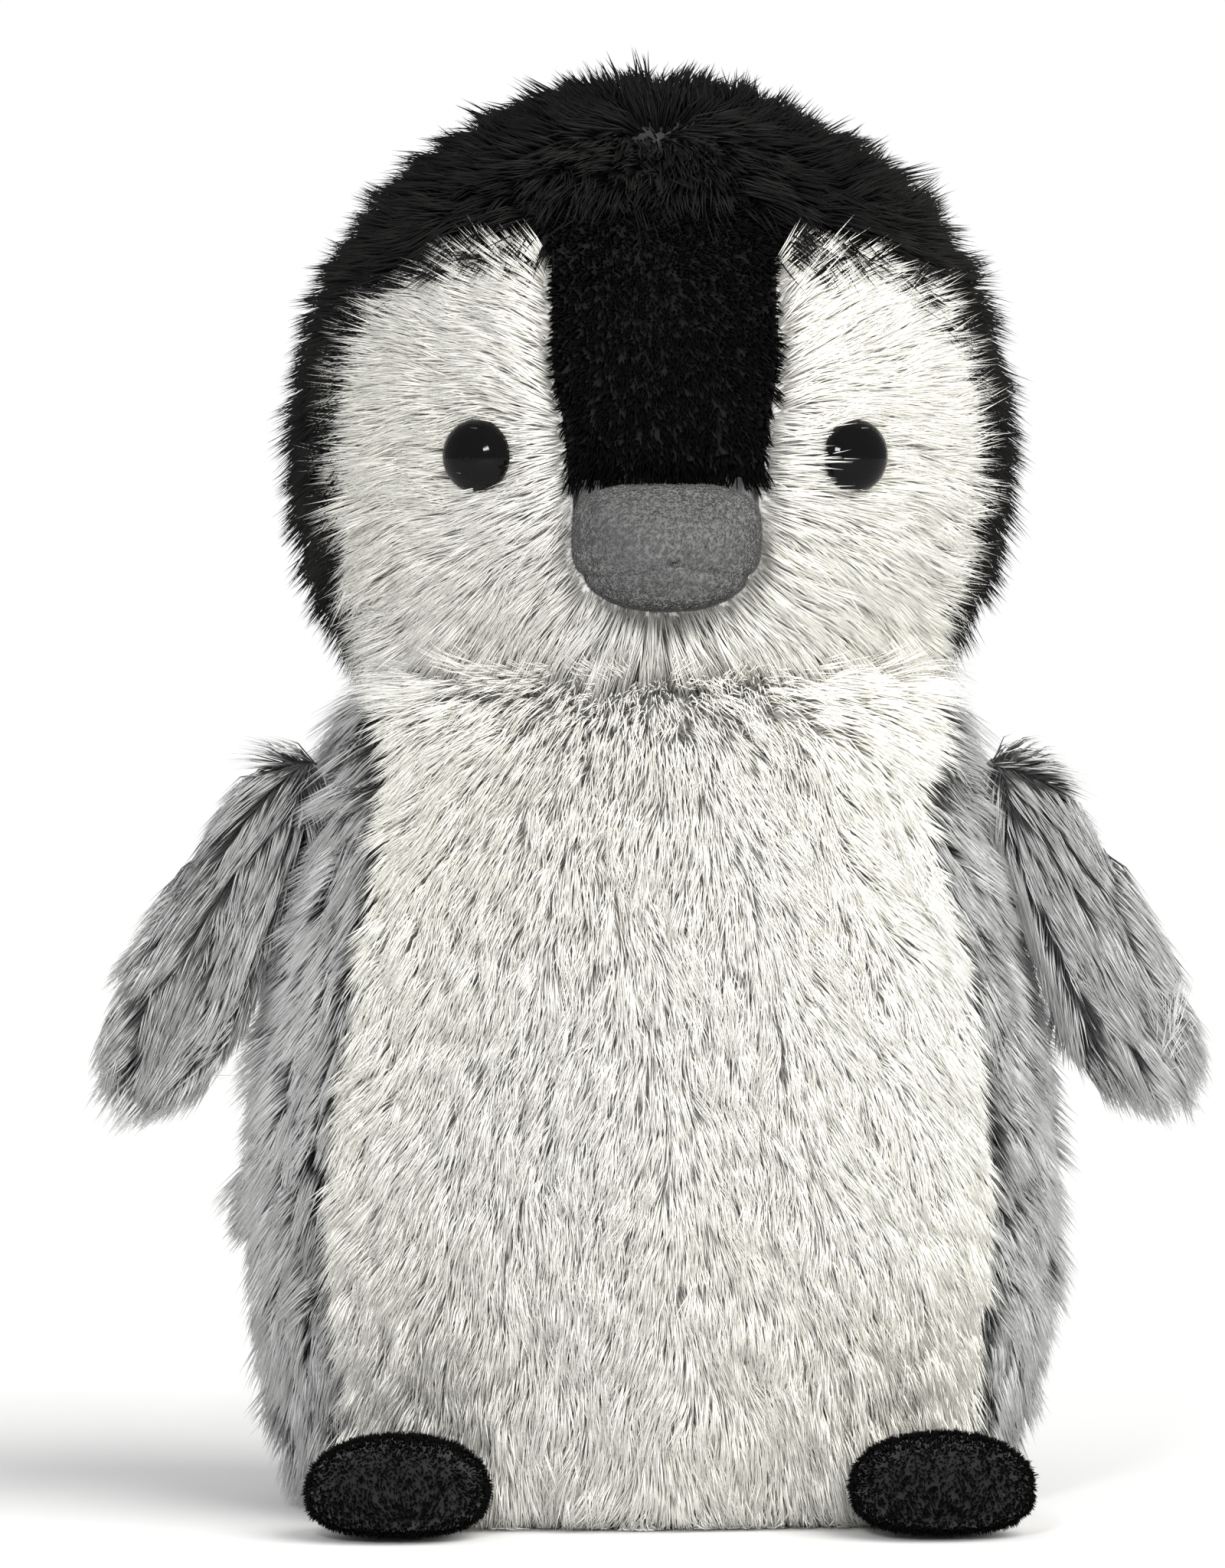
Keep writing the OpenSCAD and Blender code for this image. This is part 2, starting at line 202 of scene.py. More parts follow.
def mask_outer(z):
    cheek = CHEEK_AZ + (CHEEK_Z - z) * CHEEK_LEAN
    k = np.clip((z - MASK_ROUND_Z) / (MASK_TOP_Z + 0.5 - MASK_ROUND_Z), 0, 1)
    inner = az_at(blaze_half(z), polar(z))
    return np.where(z < MASK_ROUND_Z, cheek, inner + (cheek - inner) * np.sqrt(1 - k ** 2.2))


def mask_inner(z):
    return az_at(np.where(z > BLAZE_LOW_Z, blaze_half(z), mouth_half(z)), polar(z))


def beak_point(f, t, inset):
    """A point on the beak: f goes round it in degrees and t from the face to the tip."""
    size = np.sqrt(np.clip(1 - t ** 2.2, 0.0005, 1))
    a = np.radians(f)
    top = np.sin(a) > 0
    square = np.where(top, BEAK_TOP_SQUARE, BEAK_LOW_SQUARE)
    x = size * (BEAK_HALF_W - inset) * signed_pow(np.cos(a), square)
    high = np.where(top, BEAK_TOP_H, BEAK_LOW_H + BEAK_SAG) - inset
    z = BEAK_MID_Z + size * high * signed_pow(np.sin(a), square) - BEAK_DROOP * t * t
    bulge = 1 - (x / HEAD_HALF_W) ** 2 - ((z - HEAD_MID_Z) / HEAD_DOWN) ** 2
    face = -(HEAD_HALF_D - 7) * np.sqrt(np.clip(bulge, 0.01, 1))
    return np.stack([x, MID_Y + face + (-(BEAK_REACH - inset) - face) * t, z], -1)


def pillow_point(outline, a, r, h, flat, inset):
    """A point on one half of a sewn pillow: a goes round its outline and r out from its middle."""
    flat_xy = outline(np.radians(a))
    size = np.linalg.norm(flat_xy, axis=-1, keepdims=True)
    flat_xy = flat_xy * (1 - inset / size) * r[..., None]
    crown = np.sqrt(np.clip(1 - r ** flat, 0, 1))
    return np.concatenate([flat_xy, ((h - inset * np.sign(h)) * crown)[..., None]], -1)


def wing_outline(a):
    mid = (WING_LEN - WING_BACK) / 2
    s = (WING_LEN + WING_BACK) / 2 * signed_pow(np.cos(a), WING_SQUARE)
    half = np.where(np.sin(a) > 0, WING_OUT - WING_EDGE_PILE, 4 + 0.2 * (s + mid))
    return np.stack([s, half * signed_pow(np.sin(a), WING_SQUARE)], -1)


def foot_outline(a):
    return np.stack([
        FOOT_HALF_W * signed_pow(np.cos(a), FOOT_SQUARE),
        FOOT_HALF_LEN * signed_pow(np.sin(a), FOOT_SQUARE),
    ], -1)


def turned(points, degrees, axis):
    """Points turned about the X, Y or Z axis (0, 1 or 2)."""
    c, s = math.cos(math.radians(degrees)), math.sin(math.radians(degrees))
    i, j = [(1, 2), (2, 0), (0, 1)][axis]
    out = np.array(points, float)
    out[..., i] = c * points[..., i] - s * points[..., j]
    out[..., j] = s * points[..., i] + c * points[..., j]
    return out


def wing_place(points, side):
    mid = (WING_LEN - WING_BACK) / 2
    points = turned(points + np.array([mid, 0, 0]), 90, 0)
    points = turned(points, 90 - WING_LEAN, 1)
    points = points + np.array([WING_SEAM[0], MID_Y + WING_SEAM[1], WING_SEAM[2]])
    return points * np.array([side, 1, 1])


def foot_place(points, side):
    points = turned(points, FOOT_SPLAY, 2)
    points = points + np.array([FOOT_X, MID_Y - FOOT_TIP + FOOT_HALF_LEN, FOOT_SEAM_Z])
    return points * np.array([side, 1, 1])


# ---------- meshes ----------


def new_object(name, verts, faces):
    """A smooth-shaded mesh object from points in millimetres."""
    mesh = bpy.data.meshes.new(name)
    mesh.from_pydata((np.asarray(verts) * MM).tolist(), [], [tuple(map(int, f)) for f in faces])
    mesh.update()
    mesh.polygons.foreach_set("use_smooth", [True] * len(mesh.polygons))
    obj = bpy.data.objects.new(name, mesh)
    bpy.context.scene.collection.objects.link(obj)
    return obj


def grid_faces(rows, cols, wrap):
    """Four-sided faces of a grid of points; with wrap its last column joins its first."""
    width = cols if wrap else cols - 1
    i, j = np.meshgrid(np.arange(rows - 1), np.arange(width), indexing="ij")
    k = (j + 1) % cols
    quads = np.stack([i * cols + j, (i + 1) * cols + j, (i + 1) * cols + k, i * cols + k], -1)
    return quads.reshape(-1, 4)


def closed_form(rings):
    """Points and faces of a closed solid through rings that run from one end to the other."""
    rows, cols = rings.shape[:2]
    faces = [tuple(f) for f in grid_faces(rows, cols, True)]
    faces.append(tuple(range(cols)))
    faces.append(tuple(range(rows * cols - 1, (rows - 1) * cols - 1, -1)))
    return rings.reshape(-1, 3), faces


def voxel_remesh(obj, size):
    remesh = obj.modifiers.new("remesh", "REMESH")
    remesh.mode = "VOXEL"
    remesh.voxel_size = size * MM


def evaluated(obj):
    """Coordinates in millimetres and faces of an object with its modifiers."""
    mesh = obj.evaluated_get(bpy.context.evaluated_depsgraph_get()).to_mesh()
    co = np.empty(len(mesh.vertices) * 3)
    mesh.vertices.foreach_get("co", co)
    faces = [tuple(p.vertices) for p in mesh.polygons]
    return co.reshape(-1, 3) / MM, faces


CLOTH_FRAMES = 20


def puffed(name, rings, voxel, cap):
    """The closed form blown up by a cloth simulation, as a tree to lay the panels on.

    No point moves further than cap.
    """
    verts, faces = closed_form(rings)
    obj = new_object(name, verts, faces)
    voxel_remesh(obj, voxel)
    rest, faces = evaluated(obj)
    bpy.data.objects.remove(obj)
    obj = new_object(name, rest, faces)
    cloth = obj.modifiers.new("cloth", "CLOTH")
    cloth.settings.quality = 4
    cloth.settings.use_pressure = True
    cloth.settings.uniform_pressure_force = 4
    cloth.settings.tension_stiffness = 15
    cloth.settings.effector_weights.gravity = 0
    scene = bpy.context.scene
    for number in range(1, CLOTH_FRAMES + 1):
        scene.frame_set(number)
    moved, faces = evaluated(obj)
    step = moved - rest
    size = np.linalg.norm(step, axis=1, keepdims=True)
    moved = rest + step * np.minimum(1, cap / np.maximum(size, 1e-6))
    scene.frame_set(1)
    bpy.data.objects.remove(obj)
    return BVHTree.FromPolygons(moved.tolist(), faces)


def laid_on(tree, grid):
    """The grid's points moved to the nearest point of the puffed form."""
    flat = grid.reshape(-1, 3)
    near = [tree.find_nearest(Vector(p))[0] for p in flat]
    return np.array(near).reshape(grid.shape)


def softened(grid):
    """The grid with its inner points averaged with their neighbours, which removes voxel steps."""
    out = grid.copy()
    for _ in range(2):
        mean = (out[:-2, 1:-1] + out[2:, 1:-1] + out[1:-1, :-2] + out[1:-1, 2:]) / 4
        out[1:-1, 1:-1] = 0.4 * out[1:-1, 1:-1] + 0.6 * mean
    return out


def grid_normals(grid):
    du = np.gradient(grid, axis=0)
    dv = np.gradient(grid, axis=1)
    n = np.cross(du, dv)
    return n / np.maximum(np.linalg.norm(n, axis=-1, keepdims=True), 1e-9)


def seam_groove(grid, normals, depth, width, seams):
    """Pulls the grid in along its sewn edges: 0 in seams is its two ends and 1 its two sides."""
    def edge_distance(axis):
        step = np.linalg.norm(np.diff(grid, axis=axis), axis=-1)
        zero = np.zeros_like(np.take(step, [0], axis=axis))
        run = np.concatenate([zero, np.cumsum(step, axis=axis)], axis=axis)
        total = np.take(run, [-1], axis=axis)
        return np.minimum(run, total - run)

    near = np.min([edge_distance(axis) for axis in seams], axis=0)
    return grid - normals * (depth * np.exp(-((near / width) ** 2)))[..., None]


class Panel:
    """One sewn panel: a grid on the puffed form, with normals that point away from its centre."""

    def __init__(self, name, tree, grid, centre, groove=1.2, width=3.0, seams=(0, 1)):
        grid = softened(laid_on(tree, grid))
        normals = grid_normals(grid)
        if np.mean(np.sum(normals * (grid - np.asarray(centre, float)), -1)) < 0:
            grid = grid[:, ::-1]
            normals = grid_normals(grid)
        self.name = name
        self.grid = seam_groove(grid, normals, groove, width, seams)
        self.normals = normals

    def skin(self):
        """Thin closed sheet of backing cloth."""
        rows, cols = self.grid.shape[:2]
        count = rows * cols
        inner = self.grid - self.normals * CLOTH_T
        verts = np.concatenate([self.grid.reshape(-1, 3), inner.reshape(-1, 3)])
        outside = grid_faces(rows, cols, False)
        edge = np.concatenate([
            np.arange(rows - 1) * cols,
            (rows - 1) * cols + np.arange(cols - 1),
            np.arange(rows - 1, 0, -1) * cols + cols - 1,
            np.arange(cols - 1, 0, -1),
        ])
        following = np.roll(edge, -1)
        rim = np.stack([following, edge, edge + count, following + count], -1)
        faces = np.concatenate([outside, outside[:, ::-1] + count, rim])
        return new_object(self.name, verts, faces)

    def roots(self, count, keep=None):
        """Points and normals at random places spread evenly over the panel, where keep is 1."""
        g, n = self.grid, self.normals
        a, b, c, d = g[:-1, :-1], g[1:, :-1], g[1:, 1:], g[:-1, 1:]
        area = np.linalg.norm(np.cross(c - a, d - b), axis=-1).ravel() / 2
        if keep is not None:
            middle = ((a + b + c + d) / 4).reshape(-1, 3)
            area = area * keep(middle)
        pick = rng.choice(len(area), count, p=area / area.sum())
        i, j = np.divmod(pick, g.shape[1] - 1)
        u, v = rng.random((2, count, 1))

        def blend(q):
            low = q[i, j] * (1 - v) + q[i, j + 1] * v
            high = q[i + 1, j] * (1 - v) + q[i + 1, j + 1] * v
            return low * (1 - u) + high * u

        normal = blend(n)
        return blend(g), normal / np.linalg.norm(normal, axis=1, keepdims=True)

    def from_sides(self, points):
        """Each point's distance from the panel's two side edges."""
        edge = np.concatenate([self.grid[:, 0], self.grid[:, -1]])
        tree = KDTree(len(edge))
        for k, p in enumerate(edge):
            tree.insert(p, k)
        tree.balance()
        return np.array([tree.find(p)[2] for p in points])

    def area(self):
        g = self.grid
        across = np.cross(g[1:, 1:] - g[:-1, :-1], g[:-1, 1:] - g[1:, :-1])
        return np.linalg.norm(across, axis=-1).sum() / 2


# ---------- pile ----------

FLOOR_Z = 0.4         # no strand goes lower than this
BENT = (0, 0.5, 1)    # places along a strand from root to tip; the last is its point
STRAIGHT = (0, 1)
MOST_FACES = 195000   # in one object of strands
DRIFT_SIZE = 22.0     # the comb's direction wanders over about this distance
SHADE_SIZE = 30.0     # and the shade over this
LEAST_RISE = (15, -8)   # degrees from the cloth, at a strand's root and tip
MOST_RISE = (88, 80)

# Lengths, widths and tuft sizes in millimetres. lift: degrees from the cloth at root and tip.
# clump and stretch: a tuft's width and how many times longer it is. pull: how far strands gather
# to the tuft's middle. sway: degrees aside by region, tuft and strand. density: strands a square
# millimetre. streak: how much darker a tuft's rim is.
WHITE = dict(
    length=12.5, width=0.35, lift=(54, 18), clump=2.4, stretch=1.8, pull=0.16, sway=(15, 7, 9),
    density=2.2)
BLACK = dict(
    length=13.0, width=0.44, lift=(66, 40), clump=3.2, pull=0.5, sway=(14, 12, 10), density=1.3)
FROST = dict(
    length=14.0, width=0.38, lift=(46, 20), clump=2.8, stretch=3.5, streak=0.42, pull=0.5,
    sway=(12, 8, 7), density=1.6)
WING_PILE = dict(FROST, lift=(26, 4), stretch=6.0, streak=0.36, sway=(6, 5, 4), density=2.1)
VELVET = dict(
    length=3.6, width=0.42, lift=(70, 45), clump=1.6, pull=0.3, sway=(8, 12, 14), density=3.4)
FOOT_PILE = dict(
    stations=STRAIGHT, length=1.8, width=0.42, lift=(62, 30), clump=1.2, pull=0.2,
    sway=(8, 10, 14), density=3.4)
BEAK_PILE = dict(
    stations=STRAIGHT, length=0.9, width=0.3, lift=(40, 15), clump=1.0, pull=0.1,
    sway=(8, 6, 14), density=5.0)


def unit(v):
    return v / np.maximum(np.linalg.norm(v, axis=-1, keepdims=True), 1e-9)


def tufts(points, comb, size, stretch, area):
    """Each root's tuft, each tuft's middle root, and each root's distance from that middle.

    A tuft is size millimetres wide and stretch times as long along the comb.
    """
    count = max(1, int(area / (size ** 2 * stretch)))
    centre = rng.choice(len(points), min(count, len(points)), replace=False)
    along = np.sum(points * comb, 1, keepdims=True)
    place = points - comb * along * (1 - 1 / stretch)
    tree = KDTree(len(centre))
    for k, p in enumerate(place[centre]):
        tree.insert(p, k)
    tree.balance()
    found = [tree.find(p) for p in place]
    return np.array([f[1] for f in found]), centre, np.array([f[2] for f in found])


def waves(points, size):
    """Smooth values between about -1 and 1 that wander over some size millimetres."""
    total = np.zeros(len(points))
    for _ in range(4):
        way = rng.normal(size=3)
        way *= 2 * math.pi / size * rng.uniform(0.5, 1.2) / np.linalg.norm(way)
        total += np.sin(points @ way + rng.uniform(0, 2 * math.pi))
    return total / 2.2


def paths(points, normals, comb, length, lift, stations):
    """Points of each strand at the stations, from root to tip, laid over along the comb."""
    root, tip = lift
    out = [points]
    for t0, t1 in zip(stations[:-1], stations[1:]):
        angle = np.radians(root + (tip - root) * (t0 + t1) / 2)[:, None]
        step = normals * np.sin(angle) + comb * np.cos(angle)
        out.append(out[-1] + step * (length * (t1 - t0))[:, None])
    return np.stack(out, 1)


def gathered(own, centre, tuft, comb, pull, stations):
    """The strands with their tips drawn to their tuft's middle strand, mostly from the sides."""
    gather = own[centre][tuft] - own
    lengthwise = comb[:, None] * np.sum(gather * comb[:, None], -1, keepdims=True)
    line = own + (gather - 0.8 * lengthwise) * (pull * stations ** 1.3)[None, :, None]
    line[:, :, 2] = np.maximum(line[:, :, 2], FLOOR_Z)
    return line


def fur_objects(name, points, normals, field, style, area, local):
    """Strands as objects of at most MOST_FACES faces. local gives the Change at each root."""
    n = len(points)
    change = local(points)
    comb = unit(field(points) - normals * np.sum(field(points) * normals, 1, keepdims=True))
    tuft, centre, off = tufts(points, comb, style["clump"], style.get("stretch", 1.0), area)
    # change.dark is painted shade in seams and creases; a tuft's rim is darker by the style's streak
    dark = change.dark + style.get("streak", 0.0) * np.clip(off / style["clump"], 0, 1)
    m = len(centre)
    drift, of_tuft, of_strand = style["sway"]
    sway = drift * waves(points, DRIFT_SIZE)
    sway = sway + rng.normal(0, of_tuft, m)[tuft] + rng.normal(0, of_strand, n)
    side = np.cross(normals, comb)
    sway = np.radians(sway)[:, None]
    comb = comb * np.cos(sway) + side * np.sin(sway)
    tuft_long = rng.normal(1, 0.12, m)[tuft]
    length = style["length"] * tuft_long * rng.uniform(0.72, 1.1, n) * change.length
    rise = rng.normal(0, 7, m)[tuft] + rng.normal(0, 5, n) + change.rise
    lift = [np.clip(a + rise, low, high) for a, low, high in zip(style["lift"], LEAST_RISE, MOST_RISE)]
    stations = np.array(style.get("stations", BENT))
    own = paths(points, normals, comb, length, lift, stations)
    line = gathered(own, centre, tuft, comb, style["pull"], stations)
    broad = 0.5 + 0.35 * waves(points, SHADE_SIZE)
    tone_and_shade = np.stack([0.55 * rng.random(m)[tuft] + 0.45 * broad - dark, rng.random(n)], 1)
    width = style["width"] * rng.uniform(0.75, 1.15, n)
    most = MOST_FACES // len(strand_faces(len(stations) - 1))
    return [
        strand_mesh(f"{name}_{k}", line[s], width[s], normals[s], tone_and_shade[s], stations)
        for k, s in enumerate(np.array_split(np.arange(n), math.ceil(n / most)))
    ]


def strand_faces(rings):
    """Faces of one closed three-sided strand: its rings' corners in turn, then its point."""
    faces = [(2, 1, 0)]
    point = 3 * rings
    for i in range(3):
        j = (i + 1) % 3
        for base in range(0, point - 3, 3):
            faces.append((base + i, base + j, base + 3 + j))
            faces.append((base + i, base + 3 + j, base + 3 + i))
        faces.append((point - 3 + i, point - 3 + j, point))
    return faces


def strand_mesh(name, line, width, normals, tone_and_shade, stations):
    """Tapering strands. Each point stores its place along the strand and the strand's tones, which hold
    the painted shade of seams and creases.
    """
    n, rings = len(line), len(stations) - 1
    corners = 3 * rings + 1
    along = unit(np.diff(line, axis=1))
    side = unit(np.cross(along, normals[:, None] + 0.01))
    up = np.cross(side, along)
    turn = np.radians([90, 210, 330])
    spread = np.cos(turn)[:, None] * side[:, :, None] + np.sin(turn)[:, None] * up[:, :, None]
    ring_points = line[:, :rings, None] + (width / 2)[:, None, None, None] * spread
    verts = np.concatenate([ring_points.reshape(n, 3 * rings, 3), line[:, rings:]], 1)
    faces = np.array(strand_faces(rings))
    faces = (np.arange(n)[:, None, None] * corners + faces).reshape(-1, 3)
    mesh = bpy.data.meshes.new(name)
    mesh.vertices.add(n * corners)
    mesh.vertices.foreach_set("co", (verts * MM).ravel())
    mesh.loops.add(faces.size)
    mesh.loops.foreach_set("vertex_index", faces.ravel().astype(np.int32))
    mesh.polygons.add(len(faces))
    mesh.polygons.foreach_set("loop_start", np.arange(len(faces), dtype=np.int32) * 3)
    mesh.polygons.foreach_set("use_smooth", np.ones(len(faces), bool))
    shade = np.ones((n, corners, 4))
    shade[:, :, 0] = np.append(np.repeat(stations[:-1], 3), 1.0)
    shade[:, :, 1] = tone_and_shade[:, :1]
    shade[:, :, 2] = tone_and_shade[:, 1:]
    layer = mesh.color_attributes.new("strand", "FLOAT_COLOR", "POINT")
    layer.data.foreach_set("color", shade.ravel())
    mesh.update(calc_edges=True)
    obj = bpy.data.objects.new(name, mesh)
    bpy.context.scene.collection.objects.link(obj)
    return obj


# ---------- materials ----------


class Nodes:
    """Small helper to write a material's nodes in few lines."""

    def __init__(self, name):
        self.material = bpy.data.materials.new(name)
        self.material.use_nodes = True
        self.tree = self.material.node_tree
        self.shader = self.tree.nodes["Principled BSDF"]

    def add(self, kind, **inputs):
        node = self.tree.nodes.new(kind)
        for key, value in inputs.items():
            key = key.replace("_", " ")
            if isinstance(value, bpy.types.NodeSocket):
                self.tree.links.new(value, node.inputs[key])
            else:
                node.inputs[key].default_value = value
        return node

    def link(self, output, key):
        self.tree.links.new(output, self.shader.inputs[key])

    def plain(self, **values):
        for key, value in values.items():
            self.shader.inputs[key.replace("_", " ")].default_value = value

    def noise(self, scale, detail=3.0):
        where = self.add("ShaderNodeTexCoord").outputs["Object"]
        return self.add("ShaderNodeTexNoise", Vector=where, Scale=scale, Detail=detail).outputs["Fac"]

    def math(self, operation, a, b):
        node = self.tree.nodes.new("ShaderNodeMath")
        node.operation = operation
        for socket, value in zip(node.inputs, (a, b)):
            if isinstance(value, bpy.types.NodeSocket):
                self.tree.links.new(value, socket)
            else:
                socket.default_value = value
        return node.outputs[0]

    def mix(self, factor, a, b, blend="MIX"):
        node = self.tree.nodes.new("ShaderNodeMix")
        node.data_type = "RGBA"
        node.blend_type = blend
        for socket, value in ((node.inputs[0], factor), (node.inputs[6], a), (node.inputs[7], b)):
            if isinstance(value, bpy.types.NodeSocket):
                self.tree.links.new(value, socket)
            else:
                socket.default_value = value
        return node.outputs[2]

    def stops(self, factor, *colours):
        """A colour ramp with (position, colour) stops."""
        node = self.add("ShaderNodeValToRGB", Fac=factor)
        marks = node.color_ramp.elements
        while len(marks) < len(colours):
            marks.new(0.5)
        for mark, (place, colour) in zip(marks, colours):
            mark.position = place
            mark.color = colour
        return node.outputs["Color"]

    def bump(self, height, distance, strength=0.6):
        node = self.add("ShaderNodeBump", Height=height, Strength=strength, Distance=distance * MM)
        self.link(node.outputs["Normal"], "Normal")


def grey(value, warm=0.0):
    return (value * (1 + warm), value, value * (1 - warm), 1)


def fur_material(name, stops, tone_shift, warm=None, sheen=0.25, gloss=0.15):
    """Strands shaded from root to tip. tone_shift lets whole tufts be darker or lighter; the painted
    shade of seams and creases comes through the same way.
    """
    m = Nodes(name)
    parts = m.add("ShaderNodeSeparateColor")
    attribute = m.tree.nodes.new("ShaderNodeVertexColor")
    attribute.layer_name = "strand"
    m.tree.links.new(attribute.outputs["Color"], parts.inputs[0])
    along, tuft, own = parts.outputs
    shift = m.math("MULTIPLY", m.math("SUBTRACT", tuft, 0.5), tone_shift)
    jitter = m.math("MULTIPLY", m.math("SUBTRACT", own, 0.5), tone_shift * 0.6)
    place = m.math("ADD", along, m.math("ADD", shift, jitter))
    colour = m.stops(place, *stops)
    if warm:
        colour = m.mix(m.math("MULTIPLY", m.noise(14), 0.8), colour, warm, "MULTIPLY")
    m.link(colour, "Base Color")
    m.plain(
        Roughness=0.75, Sheen_Weight=sheen, Sheen_Roughness=0.4, Specular_IOR_Level=gloss)
    return m.material


def cloth_material(name, dark, light, ribs_scale=150):
    """Knitted backing cloth: fine ribs across and along, with faint uneven dye."""
    m = Nodes(name)
    where = m.add("ShaderNodeTexCoord").outputs["Object"]
    ribs = []
    for direction in ("X", "Z"):
        wave = m.add("ShaderNodeTexWave", Vector=where, Scale=ribs_scale, Distortion=1.5)
        wave.bands_direction = direction
        ribs.append(wave.outputs["Fac"])
    knit = m.math("MULTIPLY", ribs[0], ribs[1])
    blotch = m.noise(60)
    uneven = m.math("ADD", m.math("MULTIPLY", knit, 0.5), m.math("MULTIPLY", blotch, 0.5))
    m.link(m.mix(uneven, dark, light), "Base Color")
    m.link(m.math("ADD", m.math("MULTIPLY", blotch, 0.15), 0.8), "Roughness")
    m.plain(Sheen_Weight=0.2)
    m.bump(knit, 0.15)
    return m.material


def plastic_material(name, colour, roughness, gloss):
    """Moulded plastic with fine handling marks."""
    m = Nodes(name)
    marks = m.noise(700, 6)
    worn = grey(min(1, colour[1] * 1.6 + 0.004))
    m.link(m.mix(m.math("MULTIPLY", marks, 0.3), colour, worn), "Base Color")
    m.link(m.math("ADD", m.math("MULTIPLY", marks, 0.05), roughness), "Roughness")
    m.plain(Specular_IOR_Level=gloss)
    m.bump(marks, 0.01, 0.2)
    return m.material


def fibre_material(name):
    """Matted polyester fill."""
    m = Nodes(name)
    strands = m.noise(420, 8)
    m.link(m.stops(strands, (0.3, grey(0.62)), (0.7, grey(0.9))), "Base Color")
    m.link(m.math("ADD", m.math("MULTIPLY", strands, 0.2), 0.75), "Roughness")
    m.plain(Sheen_Weight=0.4)
    m.bump(strands, 0.8)
    return m.material


def give(obj, material):
    obj.data.materials.clear()
    obj.data.materials.append(material)


LOOKS = {
    "black_fur": fur_material(
        "black_pile_long",
        [(0.0, grey(0.003)), (0.6, grey(0.008)), (1.0, grey(0.022, 0.04))], 0.5, sheen=0.0),
    "velvet": fur_material(
        "black_pile_short",
        [(0.0, grey(0.001)), (0.7, grey(0.003)), (1.0, grey(0.005))], 0.3, sheen=0.0, gloss=0.08),
    "white_fur": fur_material(
        "white_pile_long",
        [(0.0, grey(0.92, 0.01)), (0.35, grey(0.95, 0.012)), (1.0, grey(0.97, 0.01))], 0.2,
        warm=(1.0, 0.99, 0.88, 1)),
    "frosted_fur": fur_material(
        "frosted_pile_long",
        [(0.0, grey(0.03)), (0.2, grey(0.08)), (0.42, grey(0.5)), (1.0, grey(0.82))], 0.5),
    "grey_cloth": fur_material(
        "grey_velour",
        [(0.0, grey(0.04)), (0.3, grey(0.11)), (1.0, grey(0.17, 0.01))], 0.5, sheen=0.1),
}
SKINS = {
    "black_fur": cloth_material("backing_black", grey(0.004), grey(0.012)),
    "white_fur": cloth_material("backing_white", grey(0.8, 0.02), grey(0.9, 0.02)),
    "frosted_fur": cloth_material("backing_charcoal", grey(0.02), grey(0.05)),
    "grey_cloth": cloth_material("backing_grey", grey(0.1), grey(0.16)),
    "black_pile": cloth_material("backing_foot", grey(0.004), grey(0.01)),
    "stuffing": fibre_material("polyester_fill"),
    "pellets": cloth_material("pellet_bag_cloth", grey(0.5), grey(0.72)),
    "thread": cloth_material("black_thread", grey(0.01), grey(0.03), ribs_scale=500),
    "eye_plastic": plastic_material("eye_black_plastic", grey(0.002), 0.05, 0.12),
    "washer_plastic": plastic_material("washer_white_plastic", grey(0.7), 0.4, 0.5),
}

# ---------- the puffed forms ----------

AROUND = np.arange(0, 360, 10.0)
NECK_SHARE = 0.55     # of the shoulders' width, where the body's form closes


def level(around, value):
    return np.full_like(around, value)


def body_rings():
    rings = [
        body_point(AROUND, level(AROUND, z), PILE + FORM_UNDER) for z in np.linspace(1, SHOULDER_Z, 26)]
    top = rings[-1].copy()
    top[:, 0] *= NECK_SHARE
    top[:, 1] = MID_Y + (top[:, 1] - MID_Y) * NECK_SHARE
    top[:, 2] = SHOULDER_Z + 2.5
    return np.array(rings + [top])


def head_rings():
    return np.array([
        head_point(AROUND, level(AROUND, psi), PILE + FORM_UNDER) for psi in np.linspace(176, 3, 30)])


def beak_rings():
    return np.array([
        beak_point(AROUND, level(AROUND, t), BEAK_INSET + 0.6) for t in np.linspace(0, 0.99, 14)])


def pillow_rings(outline, low, low_flat, high, high_flat, inset):
    """Rings of a whole pillow: low and high are its heights below and above its seam."""
    a = np.arange(0, 360, 12.0)
    radii = (0.1, 0.4, 0.65, 0.85, 0.97)
    below = [pillow_point(outline, a, level(a, r), -low, low_flat, inset) for r in radii]
    above = [pillow_point(outline, a, level(a, r), high, high_flat, inset) for r in radii[::-1]]
    return np.array(below + above)


def wing_rings(half_t, inset):
    return pillow_rings(wing_outline, half_t, WING_FLAT, half_t, WING_FLAT, inset)


def pillow_panel(face, tree, outline, height, flat, inset, place, cols):
    """One panel of a sewn pillow, as a Panel. place puts the pillow's points in the toy."""
    def surface(u, v):
        return place(pillow_point(outline, 360 * v, 0.06 + 0.94 * u, height, flat, inset))

    return Panel(face, tree, patch(surface, 24, cols), place(np.zeros(3)), 0.0)


def patch(function, rows, cols):
    """A grid of points with rows and cols, from a function of u and v that both run from 0 to 1."""
    u, v = np.meshgrid(np.linspace(0, 1, rows), np.linspace(0, 1, cols), indexing="ij")
    return function(u, v)


def add_skin(panel, node, body, slot, blend=None):
    """The panel's backing cloth, which stands for the CAD node. blend: between two bodies."""
    skin = panel.skin()
    skin.name = f"{node}_cloth"
    give(skin, SKINS[slot])
    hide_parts(node)
    if blend:
        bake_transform(skin)
    else:
        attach(skin, body)


# How pile differs from its style at each root: degrees more from the cloth, times the length,
# and how much darker it is painted, which stands for shade in seams and creases
Change = namedtuple("Change", "rise length dark", defaults=(0.0, 1.0, 0.0))


def even(points):
    return Change()


def above(p, z, over):
    """0 below height z, rising to 1 over the next few millimetres."""
    return ramp((p[:, 2] - z) / over)


def below(p, z, over):
    return ramp((z - p[:, 2]) / over)


def ahead(p, start, over):
    """0 up to start millimetres in front of the middle, then rising to 1."""
    return ramp((MID_Y - start - p[:, 1]) / over)


